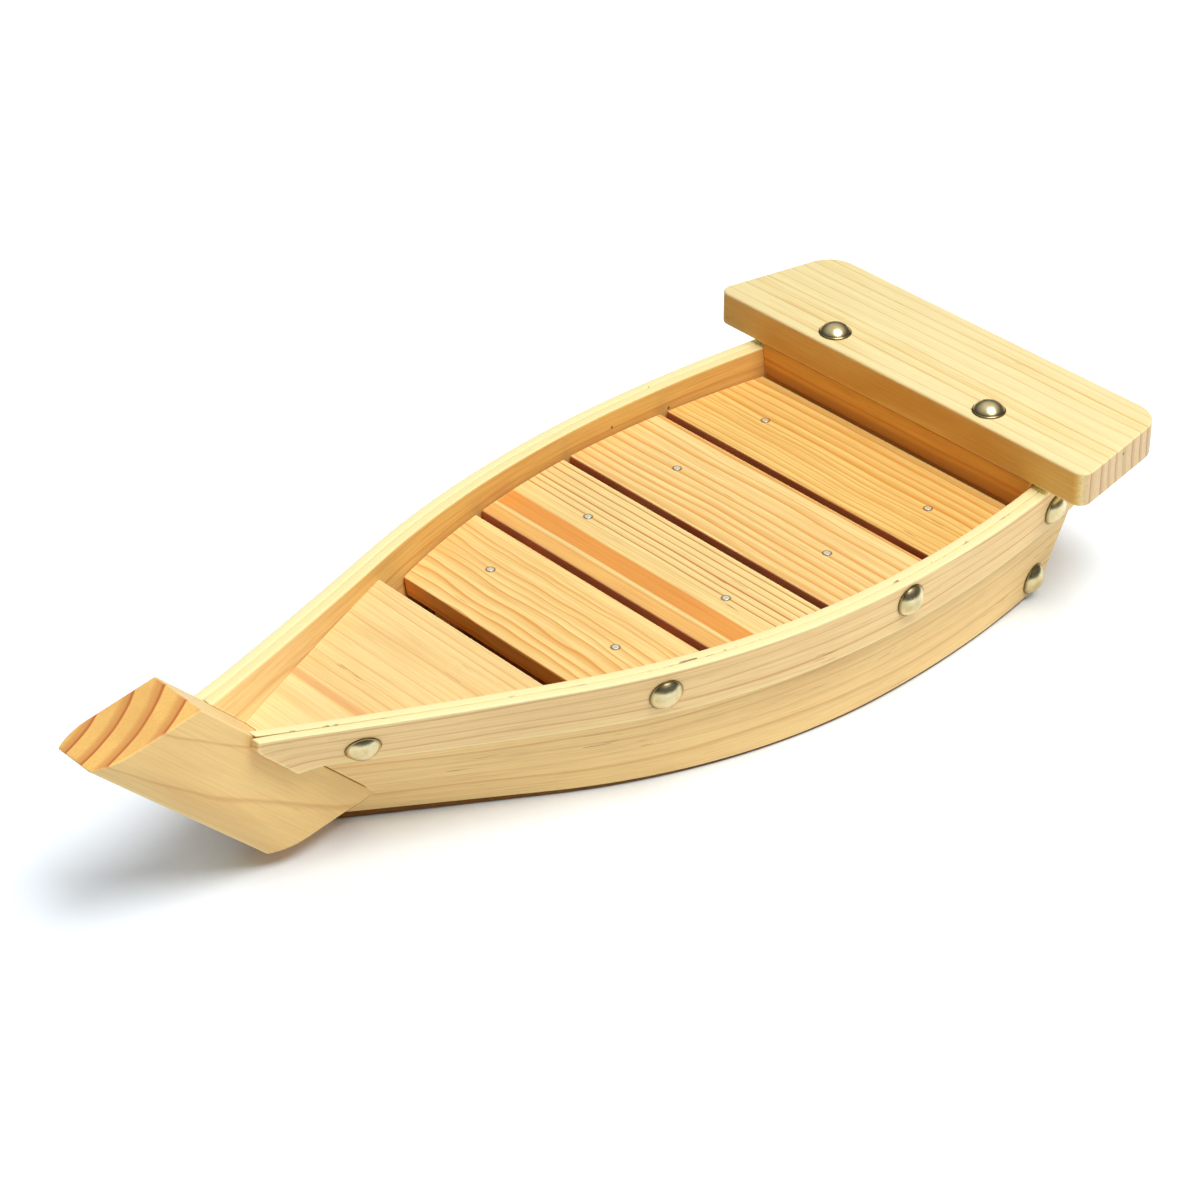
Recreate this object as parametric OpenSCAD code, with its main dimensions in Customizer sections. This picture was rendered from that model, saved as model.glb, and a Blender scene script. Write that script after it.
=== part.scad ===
// Wooden sushi boat with a lift-out deck grate.
// Millimetres. +X points to the bow, +Y to port, +Z up; the origin lies on the table under the middle.

/* [Hull] */
// Overall length, from the back of the stern board to the tip of the stem
boat_l = 368; // [358:1:390]
// Beam over the side planks at the gunwale, at the widest place
gunwale_beam = 137; // [132:1:144]
// Beam over the side planks at the table, at the widest place
bottom_beam = 130.5; // [126:0.5:134]
// Widest place of the gunwale, measured aft from the middle of the boat
gunwale_widest = 75; // [68:1:82]
// Widest place of the lower edge, measured aft from the middle of the boat
bottom_widest = 69; // [62:1:76]
// Half angle of the bow at the gunwale, in degrees
gunwale_bow_a = 21; // [20:0.5:23]
// Half angle of the bow at the table, in degrees
bottom_bow_a = 31; // [30:0.5:33]
// Plan radius of the gunwale aft of the widest place
gunwale_stern_r = 403; // [350:1:500]
// Plan radius of the lower edge aft of the widest place
bottom_stern_r = 358; // [320:1:450]
// Height of the gunwale at its lowest place
side_h = 44; // [42:0.5:46]
// Lowest place of the gunwale, measured aft from the middle of the boat
sheer_low = 42; // [36:1:50]
// Radius of the sheer curve toward the bow
sheer_bow_r = 1800; // [1400:50:3000]
// Radius of the sheer curve toward the stern
sheer_stern_r = 2600; // [2200:50:4000]
// Thickness of the side planks
plank_t = 3.2; // [2.4:0.1:4]
// Thickness of the outer rails
rail_t = 3.2; // [2.4:0.1:4]
// Height of the outer rails
rail_h = 17; // [14:0.5:20]
// Thickness of the bottom board
bottom_t = 5; // [4:0.5:7]
// Rake of the plank ends at the stern, from upright, in degrees
stern_rake = 27; // [20:1:32]

/* [Stem] */
// Width of the stem block
stem_w = 22; // [20:0.5:24]
// Width of its blunt nose
nose_w = 15; // [12:0.5:18]
// Length of the tapered nose, square to the rake
nose_l = 10; // [7:0.5:13]
// Depth of the block along the boat
stem_d = 41.5; // [38:0.5:46]
// Rake of the block above the table, in degrees
stem_rake = 45; // [43:0.5:47]
// Height of its tip
tip_z = 63; // [60:0.5:68]
// Height of its heel
heel_z = 5.5; // [4:0.5:7]
// Slope of its end cuts, rising aft, in degrees
cut_slope = 9; // [6:0.5:11]

/* [Stern] */
// Width of the stern board along its front edge
stern_board_w = 165; // [155:1:180]
// Width of the stern board along its back edge
stern_board_back_w = 147; // [138:1:165]
// Depth of the stern board along the boat
stern_board_d = 47; // [42:1:54]
// Thickness of the stern board
stern_board_t = 12; // [9:0.5:15]
// Corner radius at its back edge
back_corner_r = 11; // [6:0.5:15]
// Corner radius at its front edge
front_corner_r = 4; // [2:0.5:6]
// Thickness of the transom
transom_t = 15.5; // [12:0.5:16]
// Height of its underside above the lowest place of the gunwale
board_rise = 3.5; // [3.2:0.1:5]
// Room between the plank tops and the stern board
board_room = 0.4; // [0.2:0.1:0.8]

/* [Deck] */
// Height of the deck grate's top
deck_z = 36; // [34:0.5:38]
// Width of each slat
slat_w = 40; // [37:0.5:41]
// Gap between slats
slat_gap = 3; // [2:0.5:5]
// Thickness of the slats
slat_t = 6; // [4:0.5:8]
// Room between the slat ends and the side planks
slat_room = 0.7; // [0.5:0.1:2]
// Room between the last slat and the stern board
stern_room = 0.8; // [0.5:0.1:2]
// Width of the battens under the slats
batten_w = 10; // [8:0.5:14]
// Depth of the battens
batten_h = 10; // [8:0.5:11]
// Half spacing of the battens at the middle of the grate
batten_y = 32.8; // [28:0.2:36]
// Angle by which the battens spread toward the stern, in degrees
batten_spread = 3.7; // [1:0.1:5]
// Room between the battens and their bearers
bearer_room = 0.2; // [0.1:0.1:0.5]
// Width of the grate bearers along the boat
bearer_w = 10; // [8:0.5:14]

/* [Foredeck] */
// Height of the foredeck's top
foredeck_z = 42; // [40.5:0.5:43]
// Thickness of the foredeck
foredeck_t = 5; // [4:0.5:6]
// Finger gap between the foredeck and the first slat
finger_gap = 12; // [9:0.5:16]
// Width of the beam under the foredeck along the boat
beam_w = 10; // [8:0.5:14]
// Depth of the beam under the foredeck
beam_h = 12; // [8:0.5:16]

/* [Fasteners] */
// Diameter of a dome tack's head
tack_d = 11; // [9:0.5:12]
// Height of a dome tack's head
tack_h = 3.4; // [2.5:0.1:4.5]
// How far the tacks at the stern reach into the transom
tack_grip = 9; // [6:0.5:12]
// Diameter of a dome tack's shank
tack_shank_d = 1.8; // [1.4:0.1:2.4]
// Diameter of a brad's head
brad_d = 2.6; // [2:0.1:3.2]
// Diameter of a brad's shank
brad_shank_d = 1.2; // [1:0.1:1.6]
// How far the brads reach into the piece behind
brad_grip = 7; // [5:0.5:7.5]

/* [Hidden] */
$fn = 64;

pine = "#e6c48d";
pale_pine = "#efd8a6";
heart_pine = "#dba55b";
brown_pine = "#b9803f";
brass = "#d3c391";
steel = "#c9c9c4";

port = 1;
starboard = -1;
// Stations along a curved strip, and along a piece fitted between the planks
strip_steps = 48;
slab_steps = 10;
// Straights in each rounded corner of the stern board
corner_steps = 14;
// Hair-line rooms at glued seams, so that neighbours touch without overlapping
seam = 0.05;
glue_room = 0.1;
// How far a shape that trims another reaches past it
trim = 6;

bow_x = boat_l / 2;
board_back_x = -boat_l / 2;
board_front_x = board_back_x + stern_board_d;
board_z = side_h + board_rise;
transom_inset = 0.4;
transom_front_x = board_front_x - transom_inset;
transom_back_x = transom_front_x - transom_t;
sheer_x = -sheer_low;

// The stem block's raked faces and its end cuts
rake_run = 1 / tan(stem_rake);
cut_k = tan(cut_slope);
cut_rise = cut_k * stem_d / (1 + cut_k * rake_run);
cut_z = heel_z + cut_rise;
function stem_front_x(z) = bow_x - (tip_z - z) * rake_run;
function stem_aft_x(z) = stem_front_x(z) - stem_d;
stem_joint_x = stem_aft_x(side_h);

// The planks end on the stem block's aft face, with a short tongue under its heel
tongue_lap = 2.3;
tongue_x = stem_aft_x(cut_z) + tongue_lap;
// Their lower edges lift off the table ahead of the forefoot, along an arc
plank_lift = 0.5;
forefoot_x = tongue_x - 53;
forefoot_r = 680;

// Plan radii forward of the widest place: each arc's tangent passes the end of its plank edge
stem_room = 0.85;
tongue_room = 0.17;
gunwale_bow_r = bow_radius(gunwale_beam / 2, gunwale_bow_a, stem_joint_x + gunwale_widest,
    stem_w / 2 + stem_room + plank_t / cos(gunwale_bow_a));
bottom_bow_r = bow_radius(bottom_beam / 2, bottom_bow_a, tongue_x + bottom_widest,
    tongue_room + plank_t / cos(bottom_bow_a));
function bow_radius(half, bow_a, run, end_y) =
    (run * tan(bow_a) + end_y - half) / (sin(bow_a) * tan(bow_a) + cos(bow_a) - 1);

// The plank ends: raked at the stern, and at the bow against the stem block and down its tongue
stern_lap = 2.2;
function stern_x(z) = transom_back_x + stern_lap - z * tan(stern_rake);
function bow_end_x(z) =
    z > cut_z ? stem_aft_x(z) - seam : stem_aft_x(cut_z) - seam + tongue_lap * (cut_z - z) / cut_z;

// The rails' raked forward ends lap onto the stem block, twisting gently from the plank to the block
rail_rake = 49;
rail_lap = 4.5;
rail_twist = 2;
function rail_end_x(z) = stem_joint_x + rail_lap + (z - side_h) / tan(rail_rake);

// The bottom board narrows to a blunt point where the planks meet
bottom_back_inset = 1.5;
bottom_point_inset = 5;

// The grate
slat_pitch = slat_w + slat_gap;
grate_aft_x = board_front_x + stern_room;
grate_fore_x = grate_aft_x + 4 * slat_w + 3 * slat_gap;
grate_mid_x = (grate_aft_x + grate_fore_x) / 2;
slat_z = deck_z - slat_t;
batten_z = slat_z - batten_h;
batten_end = 3;
batten_room = 1.5;
bearer_inset = 4;
function slat_aft_x(i) = grate_fore_x - slat_w - i * slat_pitch;
function slat_mid_x(i) = slat_aft_x(i) + slat_w / 2;
// The battens spread toward the stern, and keep clear of the planks at their forward ends
batten_l = grate_fore_x - grate_aft_x - 2 * batten_end;
batten_in = batten_l / 2 * tan(batten_spread);
batten_fore_y = side_y(grate_mid_x + batten_l / 2, batten_z, -plank_t) - batten_room - batten_w / 2;
batten_line_y = min(batten_y, batten_fore_y + batten_in);
function batten_mid_y(x) = batten_line_y + (grate_mid_x - x) * tan(batten_spread);

// The foredeck
foredeck_aft_x = grate_fore_x + finger_gap;
beam_inset = 3;

// The brads sit a little off the middle of the forward slats
brad_shift = [-2.5, -2.5, -0.5, 0];
brad_head_h = 0.5;
brad_proud = 0.2;
bottom_brad_pitch = 24;
bottom_brad_sink = 0.1;
function brad_x(i) = slat_mid_x(i) + brad_shift[i];

// The dome tacks: where they sit along the boat, and how far below the gunwale
bow_tack_back = 22;
bow_tack_x = stem_joint_x - bow_tack_back;
bow_tack_drop = 10.5;
mid_tack_x = [slat_mid_x(0) + 3.3, slat_mid_x(2) + 0.7];
mid_tack_drop = [8.6, 6.9];
stern_tack_x = transom_front_x - transom_t / 2;
stern_tack_drop = 9.3;
low_tack_z = bottom_t + 2;
board_tack_y = 34.5;
tack_sink = 0.2;
// The tacks along the rails stop inside the plank, clear of the grate
tack_stop = 0.6;
rail_tack_l = rail_t + plank_t - tack_stop;

// Half breadth in plan: an arc aft of the widest place, an arc forward of it, then its tangent to the stem
function plan_half(x, half, widest, bow_r, stern_r, bow_a) =
    let (dx = x + widest, run = bow_r * sin(bow_a))
    dx < 0 ? half - stern_r + sqrt(stern_r * stern_r - dx * dx)
    : dx < run ? half - bow_r + sqrt(bow_r * bow_r - dx * dx)
    : half - bow_r * (1 - cos(bow_a)) - (dx - run) * tan(bow_a);

// The gunwale's height, the plank tops, which stay under the stern board, and the planks' lower edges
function sheer_z(x) =
    let (dx = x - sheer_x)
    side_h + dx * dx / (2 * (dx < 0 ? sheer_stern_r : sheer_bow_r));
function plank_top_z(x) = x < sheer_x ? min(sheer_z(x), board_z - board_room) : sheer_z(x);
function lower_z(x) =
    plank_lift + (x > forefoot_x ? pow(x - forefoot_x, 2) / (2 * forefoot_r) : 0);

// Heights on a plank, where f runs from 0 at its lower edge to 1 at its top, and on a rail likewise
function plank_z(x, f) = lower_z(x) + f * (plank_top_z(x) - lower_z(x));
function rail_z(x, f) = plank_top_z(x) - rail_h * (1 - f);

// Where a line at height f meets the raked ends, found by repeating a guess that closes in
end_tries = 8;
function plank_aft_x(f, x = transom_back_x, n = end_tries) =
    n == 0 ? x : plank_aft_x(f, stern_x(plank_z(x, f)), n - 1);
function plank_fore_x(f, x = stem_joint_x, n = end_tries) =
    n == 0 ? x : plank_fore_x(f, bow_end_x(plank_z(x, f)), n - 1);
function rail_aft_x(f, x = transom_back_x, n = end_tries) =
    n == 0 ? x : rail_aft_x(f, stern_x(rail_z(x, f)), n - 1);
function rail_fore_x(f, x = stem_joint_x, n = end_tries) =
    n == 0 ? x : rail_fore_x(f, rail_end_x(rail_z(x, f)), n - 1);

// Half breadth of the planks' outer face at any height, offset outward by t
function side_y(x, z, t = 0) =
    let (low = plan_half(x, bottom_beam / 2 + t, bottom_widest,
        bottom_bow_r + t, bottom_stern_r + t, bottom_bow_a))
    let (high = plan_half(x, gunwale_beam / 2 + t, gunwale_widest,
        gunwale_bow_r + t, gunwale_stern_r + t, gunwale_bow_a))
    low + (high - low) * z / sheer_z(x);

// The rails lie on the planks, and on the stem block where they pass it
function rail_y(x, z, t) =
    let (on_plank = side_y(x, z, t), on_stem = stem_w / 2 + t)
    (on_plank + on_stem + sqrt(pow(on_plank - on_stem, 2) + rail_twist * rail_twist)) / 2;

// The outer face that a tack is driven into, a rail's or a plank's, and the direction square to it
function face_y(x, z, on_rail) = on_rail ? rail_y(x, z, rail_t) : side_y(x, z);
function face_normal(x, z, on_rail) =
    let (e = 0.5)
    let (n = [face_y(x - e, z, on_rail) - face_y(x + e, z, on_rail), 2 * e,
        face_y(x, z - e, on_rail) - face_y(x, z + e, on_rail)])
    n / norm(n);

// A loft over rings of points: the first half of each ring runs up one face, the rest down the other
module loft(rings) {
    n = len(rings[0]);
    last = n * (len(rings) - 1);
    sides = [for (i = [0 : n : last - n], k = [0 : n - 1])
        let (a = i + n + k, b = i + n + (k + 1) % n, c = i + (k + 1) % n, d = i + k)
        each k < n / 2 ? [[a, b, c], [a, c, d]] : [[a, b, d], [b, c, d]]];
    ends = [for (k = [0 : n / 2 - 2]) each [
        [k, k + 1, n - 2 - k, n - 1 - k],
        [last + n - 1 - k, last + n - 2 - k, last + k + 1, last + k]]];
    polyhedron(points = [for (r = rings) each r], faces = concat(sides, ends), convexity = 8);
}

// A shape drawn in side view, X along the boat and Y up, reaching right across it
module across(width) {
    rotate([90, 0, 0]) linear_extrude(width, center = true, convexity = 6) children();
}

module on_side(side) {
    if (side == port) children();
    else mirror([0, 1, 0]) children();
}

// A piece cut to fit between the planks, from aft_x to fore_x and from low to high
module fitted_slab(aft_x, fore_x, low, high, room, steps = slab_steps) {
    t = -plank_t - room;
    loft([for (i = [0 : steps])
        let (x = aft_x + (fore_x - aft_x) * i / steps)
        [[x, side_y(x, low, t), low], [x, side_y(x, high, t), high],
         [x, -side_y(x, high, t), high], [x, -side_y(x, low, t), low]]]);
}

// The stem block seen square to its rake: parallel sides and a tapered nose
module stem_section() {
    depth = stem_d * sin(stem_rake);
    shoulder = depth - nose_l;
    taper = (stem_w - nose_w) / 2;
    nose_r = (nose_l * nose_l + taper * taper) / (2 * taper);
    translate([0, -stem_w / 2]) square([shoulder, stem_w]);
    intersection() {
        translate([shoulder, nose_r - stem_w / 2]) circle(nose_r, $fn = 128);
        translate([shoulder, stem_w / 2 - nose_r]) circle(nose_r, $fn = 128);
        translate([shoulder, -stem_w / 2]) square([nose_l, stem_w]);
    }
}

module stem_profile() {
    polygon([
        [stem_front_x(heel_z), heel_z],
        [stem_front_x(tip_z), tip_z],
        [stem_aft_x(tip_z + cut_rise), tip_z + cut_rise],
        [stem_aft_x(cut_z), cut_z]]);
}

module stem_block() {
    reach = 4 * tip_z;
    color(pine) intersection() {
        across(stem_w + trim) stem_profile();
        translate([stem_aft_x(0), 0, 0]) rotate([0, 90 - stem_rake, 0])
            linear_extrude(reach, center = true) stem_section();
    }
}

// A side plank, with a line of points at the height of the stem block's heel, where its end turns
module side_plank(side) {
    heel_x = bow_end_x(cut_z);
    heel_f = (cut_z - lower_z(heel_x)) / (plank_top_z(heel_x) - lower_z(heel_x));
    lines = [0, heel_f, (1 + heel_f) / 2, 1];
    aft = [for (f = lines) plank_aft_x(f)];
    fore = [for (f = lines) plank_fore_x(f)];
    top = len(lines) - 1;
    function point(s, k, t) =
        let (x = aft[k] + (fore[k] - aft[k]) * s, z = plank_z(x, lines[k]))
        [x, side_y(x, z, t), z];
    color(pine) on_side(side) loft([for (i = [0 : strip_steps])
        let (s = i / strip_steps)
        concat([for (k = [0 : top]) point(s, k, 0)], [for (k = [top : -1 : 0]) point(s, k, -plank_t)])]);
}

// A rail, raked at both ends, its forward end lapping onto the stem block
module rail(side) {
    aft = [rail_aft_x(0), rail_aft_x(1)];
    fore = [rail_fore_x(0), rail_fore_x(1)];
    function point(s, k, t) =
        let (x = aft[k] + (fore[k] - aft[k]) * s, z = rail_z(x, k))
        [x, rail_y(x, z, t), z];
    color(pale_pine) on_side(side) loft([for (i = [0 : strip_steps])
        let (s = i / strip_steps)
        [point(s, 0, rail_t), point(s, 1, rail_t), point(s, 1, seam), point(s, 0, seam)]]);
}

module port_side_plank() { side_plank(port); }
module starboard_side_plank() { side_plank(starboard); }
module port_rail() { rail(port); }
module starboard_rail() { rail(starboard); }

module bottom_board() {
    color(brown_pine) fitted_slab(transom_back_x + bottom_back_inset, tongue_x - bottom_point_inset,
        0, bottom_t, glue_room, strip_steps);
}

module transom() {
    color(heart_pine) fitted_slab(transom_back_x, transom_front_x, bottom_t, board_z, seam);
}

// The stern board: a trapezium with rounded corners, its port edge drawn from the back to the front
module stern_board() {
    slope = (stern_board_w - stern_board_back_w) / 2 / stern_board_d;
    flare = atan(slope);
    function centre(x, r) = [x, stern_board_back_w / 2 + (x - board_back_x) * slope - r / cos(flare)];
    function corner(c, r, from, to) = [for (i = [0 : corner_steps])
        let (a = from + (to - from) * i / corner_steps)
        c + r * [cos(a), sin(a)]];
    edge = concat(
        corner(centre(board_back_x + back_corner_r, back_corner_r), back_corner_r, 180, 90 + flare),
        corner(centre(board_front_x - front_corner_r, front_corner_r), front_corner_r, 90 + flare, 0));
    last = len(edge) - 1;
    color(pale_pine) translate([0, 0, board_z]) linear_extrude(stern_board_t)
        polygon(concat(edge, [for (i = [last : -1 : 0]) [edge[i][0], -edge[i][1]]]));
}

module foredeck() {
    low = foredeck_z - foredeck_t;
    color(pale_pine) intersection() {
        fitted_slab(foredeck_aft_x, stem_aft_x(foredeck_z), low, foredeck_z, glue_room);
        across(gunwale_beam) polygon([
            [foredeck_aft_x - trim, low - trim],
            [stem_aft_x(low - trim) - seam, low - trim],
            [stem_aft_x(foredeck_z + trim) - seam, foredeck_z + trim],
            [foredeck_aft_x - trim, foredeck_z + trim]]);
    }
}

module foredeck_beam() {
    high = foredeck_z - foredeck_t;
    aft_x = foredeck_aft_x + beam_inset;
    color(brown_pine) fitted_slab(aft_x, aft_x + beam_w, high - beam_h, high, glue_room);
}

// A bar on the bottom board that the battens rest on
module bearer(aft_x) {
    color(brown_pine) fitted_slab(aft_x, aft_x + bearer_w, bottom_t, batten_z - bearer_room, glue_room);
}

module fore_bearer() { bearer(grate_fore_x - bearer_inset - bearer_w); }
module aft_bearer() { bearer(transom_front_x); }

module deck_slat(i) {
    aft_x = slat_aft_x(i);
    color(heart_pine) fitted_slab(aft_x, aft_x + slat_w, slat_z, deck_z, slat_room);
}

module deck_slat_1() { deck_slat(0); }
module deck_slat_2() { deck_slat(1); }
module deck_slat_3() { deck_slat(2); }
module deck_slat_4() { deck_slat(3); }

module batten(side) {
    color(brown_pine) on_side(side) translate([grate_mid_x, batten_line_y, batten_z]) rotate(-batten_spread)
        translate([-batten_l / 2, -batten_w / 2, 0]) cube([batten_l, batten_w, batten_h]);
}

module port_batten() { batten(port); }
module starboard_batten() { batten(starboard); }

// A brad driven down through a board whose top is at the origin
module brad(board_t) {
    shank = board_t + brad_grip;
    translate([0, 0, brad_proud - brad_head_h]) cylinder(d = brad_d, h = brad_head_h, $fn = 32);
    translate([0, 0, -shank]) cylinder(d = brad_shank_d, h = shank, $fn = 24);
}

module slat_brads() {
    color(steel) for (i = [0 : 3], side = [port, starboard])
        translate([brad_x(i), side * batten_mid_y(brad_x(i)), deck_z]) brad(slat_t);
}

// A dome tack seated at the origin, with its head above and its shank pointing down
module dome_tack(shank) {
    dome_r = (tack_d * tack_d / 4 + tack_h * tack_h) / (2 * tack_h);
    translate([0, 0, -tack_sink]) {
        intersection() {
            translate([0, 0, tack_h - dome_r]) sphere(dome_r);
            cylinder(d = tack_d, h = tack_h);
        }
        translate([0, 0, -shank]) cylinder(d = tack_shank_d, h = shank + tack_h / 2, $fn = 24);
    }
}

// A dome tack driven square into a rail or a plank
module side_tack(x, z, on_rail, shank) {
    n = face_normal(x, z, on_rail);
    translate([x, face_y(x, z, on_rail), z]) rotate([0, acos(n[2]), atan2(n[1], n[0])]) dome_tack(shank);
}

module side_tacks(side) {
    color(brass) on_side(side) {
        side_tack(bow_tack_x, sheer_z(bow_tack_x) - bow_tack_drop, true, rail_tack_l);
        for (i = [0, 1]) side_tack(mid_tack_x[i], sheer_z(mid_tack_x[i]) - mid_tack_drop[i], true, rail_tack_l);
        side_tack(stern_tack_x, sheer_z(stern_tack_x) - stern_tack_drop, true, rail_t + plank_t + tack_grip);
        side_tack(stern_tack_x, low_tack_z, false, plank_t + tack_grip);
    }
}

module port_tacks() { side_tacks(port); }
module starboard_tacks() { side_tacks(starboard); }

module stern_board_tacks() {
    color(brass) for (side = [port, starboard])
        translate([stern_tack_x, side * board_tack_y, board_z + stern_board_t])
            dome_tack(stern_board_t + tack_grip);
}

// Brads driven up through the bottom board into the transom, their heads just sunk
module bottom_brads() {
    color(steel) for (i = [0 : 3])
        translate([stern_tack_x, (i - 1.5) * bottom_brad_pitch, brad_proud + bottom_brad_sink])
            mirror([0, 0, 1]) brad(bottom_t);
}

stem_block();
port_side_plank();
starboard_side_plank();
port_rail();
starboard_rail();
bottom_board();
transom();
stern_board();
foredeck();
foredeck_beam();
fore_bearer();
aft_bearer();
deck_slat_1();
deck_slat_2();
deck_slat_3();
deck_slat_4();
port_batten();
starboard_batten();
slat_brads();
port_tacks();
starboard_tacks();
stern_board_tacks();
bottom_brads();
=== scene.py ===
from functools import partial

import bpy
import numpy as np
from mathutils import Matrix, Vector


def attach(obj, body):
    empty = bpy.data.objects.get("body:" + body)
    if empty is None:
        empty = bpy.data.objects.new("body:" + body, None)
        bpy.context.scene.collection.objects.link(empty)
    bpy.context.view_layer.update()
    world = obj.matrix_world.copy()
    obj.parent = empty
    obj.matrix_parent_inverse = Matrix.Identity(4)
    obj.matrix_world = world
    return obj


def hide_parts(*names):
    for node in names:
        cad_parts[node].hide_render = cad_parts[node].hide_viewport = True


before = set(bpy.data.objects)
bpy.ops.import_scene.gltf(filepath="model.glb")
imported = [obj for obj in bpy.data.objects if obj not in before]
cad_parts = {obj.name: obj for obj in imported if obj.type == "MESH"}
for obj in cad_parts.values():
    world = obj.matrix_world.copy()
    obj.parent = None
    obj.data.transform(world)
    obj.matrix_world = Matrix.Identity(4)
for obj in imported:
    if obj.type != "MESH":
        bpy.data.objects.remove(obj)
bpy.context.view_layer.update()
print("frame loaded:", len(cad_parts), "nodes")

mm = 0.001
rad = np.radians


def tint(red, green, blue):
    # a screen colour of 0 to 255 as the linear colour that sockets take
    c = np.array([red, green, blue]) / 255.0
    linear = np.where(c <= 0.04045, c / 12.92, ((c + 0.055) / 1.055) ** 2.4)
    return (*linear.tolist(), 1.0)


def tones(early, late, dark, pale):
    # a board's four colours: early wood, late wood, flecks, and the pale of worn edges and painted highlights
    return {"early": tint(*early), "late": tint(*late), "dark": tint(*dark), "pale": tint(*pale)}


# sizes that the boards are cut to, in millimetres
hull = {
    "bowX": 184.0, "sternX": -184.0, "sideH": 44.0, "sheerX": -42.0, "sheerBowR": 1800.0, "sheerSternR": 2600.0,
    "gunwaleHalf": 68.5, "gunwaleWidest": 75.0, "gunwaleBowA": rad(21.0), "gunwaleSternR": 403.0,
    "bottomHalf": 65.25, "bottomWidest": 69.0, "bottomBowA": rad(31.0), "bottomSternR": 358.0,
    "plankT": 3.2, "plankH": 48.0, "plankEdge": 0.45, "plankLift": 0.5, "forefootBack": 133.0, "forefootR": 3600.0,
    "seam": 0.05, "glueRoom": 0.1, "sternRake": rad(27.0), "sternLap": 2.2, "tongueLap": 2.3, "tongueRoom": 0.17,
    "stemRoom": 0.85, "toe": 8.0, "toePower": 0.7, "midRoom": 0.1, "midSpread": 0.3, "stripL": 300.0,
    "jointGap": 0.28, "jointBack": 1.65, "jointTop": 36.0, "jointBlend": 4.0}
stem = {
    "width": 22.0, "noseW": 15.0, "noseL": 10.0, "depth": 41.5, "rake": rad(45.0), "tipZ": 63.0, "heelZ": 5.5,
    "cutSlope": rad(9.0), "edge": 0.8, "aftEdge": 0.6, "blockL": 100.0, "jointReach": 8.0, "wearReach": 1.6,
    "flatRoom": 0.4}
rail = {
    "thick": 3.2, "height": 17.0, "rake": rad(45.6), "bluntX": 133.1, "bluntZ": 48.5, "twist": 2.0, "edge": 0.5}
stern = {
    "frontW": 165.0, "backW": 147.0, "depth": 47.0, "thick": 12.0, "rise": 3.5, "plankRoom": 0.4,
    "backR": 11.0, "frontR": 4.0, "edge": 0.7, "cutRoom": 0.3, "tipReach": 1.6, "tipBlend": 0.8, "tipEdge": 0.7,
    "frontReach": 1.2, "frontBlend": 1.0, "frontLip": 0.2, "frontSoft": 0.4,
    "transomT": 15.5, "transomInset": 0.4, "transomL": 120.0, "transomEdge": 0.5}
grate = {
    "deckZ": 36.0, "slatW": 40.0, "slatGap": 3.0, "slatT": 6.0, "slatRoom": 0.7, "sternRoom": 0.8, "slats": 4,
    "battenW": 10.0, "battenH": 10.0, "battenY": 32.8, "battenSpread": rad(3.7), "battenEnd": 3.0,
    "bearerW": 10.0, "bearerRoom": 0.2, "bearerInset": 4.0, "edge": 0.45, "barEdge": 0.5}
foredeck = {
    "topZ": 42.0, "thick": 5.0, "fingerGap": 12.0, "beamW": 10.0, "beamH": 12.0, "beamInset": 3.0, "edge": 0.7}
bottom = {
    "thick": 5.0, "backInset": 1.5, "pointInset": 5.0, "edge": 0.6, "slabW": 124.0, "rimBack": 8.0, "rimToe": 4.5,
    "rimInset": 0.2, "rimRoom": 0.06, "rimDeep": 1.2, "rimMid": 0.05, "rimEdge": 0.08, "rimEnd": 0.002}

# places that follow from those sizes
plankT, bottomT, slatW = hull["plankT"], bottom["thick"], grate["slatW"]
sternX, seam = hull["sternX"], hull["seam"]
boardFrontX = sternX + stern["depth"]
boardZ = hull["sideH"] + stern["rise"]
transomFrontX = boardFrontX - stern["transomInset"]
transomBackX = transomFrontX - stern["transomT"]
cutK = np.tan(stem["cutSlope"])
cutRise = cutK * stem["depth"] / (1 + cutK / np.tan(stem["rake"]))
cutZ = stem["heelZ"] + cutRise
grateAftX = boardFrontX + grate["sternRoom"]
grateForeX = grateAftX + grate["slats"] * slatW + (grate["slats"] - 1) * grate["slatGap"]
grateMidX = (grateAftX + grateForeX) / 2
slatZ = grate["deckZ"] - grate["slatT"]
battenZ = slatZ - grate["battenH"]
foredeckAftX = grateForeX + foredeck["fingerGap"]


def stemFrontX(z):
    return hull["bowX"] - (stem["tipZ"] - z) / np.tan(stem["rake"])


def stemAftX(z):
    return stemFrontX(z) - stem["depth"]


stemJointX = stemAftX(hull["sideH"])
tongueX = stemAftX(cutZ) + hull["tongueLap"]


def bowRadius(half, bowA, run, endY):
    # radius of an arc whose tangent at the bow angle passes the plank's end
    return (run * np.tan(bowA) + endY - half) / (np.sin(bowA) * np.tan(bowA) + np.cos(bowA) - 1)


gunwaleBowR = bowRadius(
    hull["gunwaleHalf"], hull["gunwaleBowA"], stemJointX + hull["gunwaleWidest"],
    stem["width"] / 2 + hull["stemRoom"] + plankT / np.cos(hull["gunwaleBowA"]))
bottomBowR = bowRadius(
    hull["bottomHalf"], hull["bottomBowA"], tongueX + hull["bottomWidest"],
    hull["tongueRoom"] + plankT / np.cos(hull["bottomBowA"]))


def planHalf(x, half, widest, bowR, sternR, bowA):
    # half breadth in plan: an arc aft of the widest place, an arc forward of it, then that arc's tangent
    dx = x + widest
    run = bowR * np.sin(bowA)
    aft = half - sternR + np.sqrt(sternR ** 2 - np.minimum(dx, 0) ** 2)
    fore = half - bowR + np.sqrt(bowR ** 2 - np.clip(dx, 0, run) ** 2) - np.maximum(dx - run, 0) * np.tan(bowA)
    return np.where(dx < 0, aft, fore)


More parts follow.
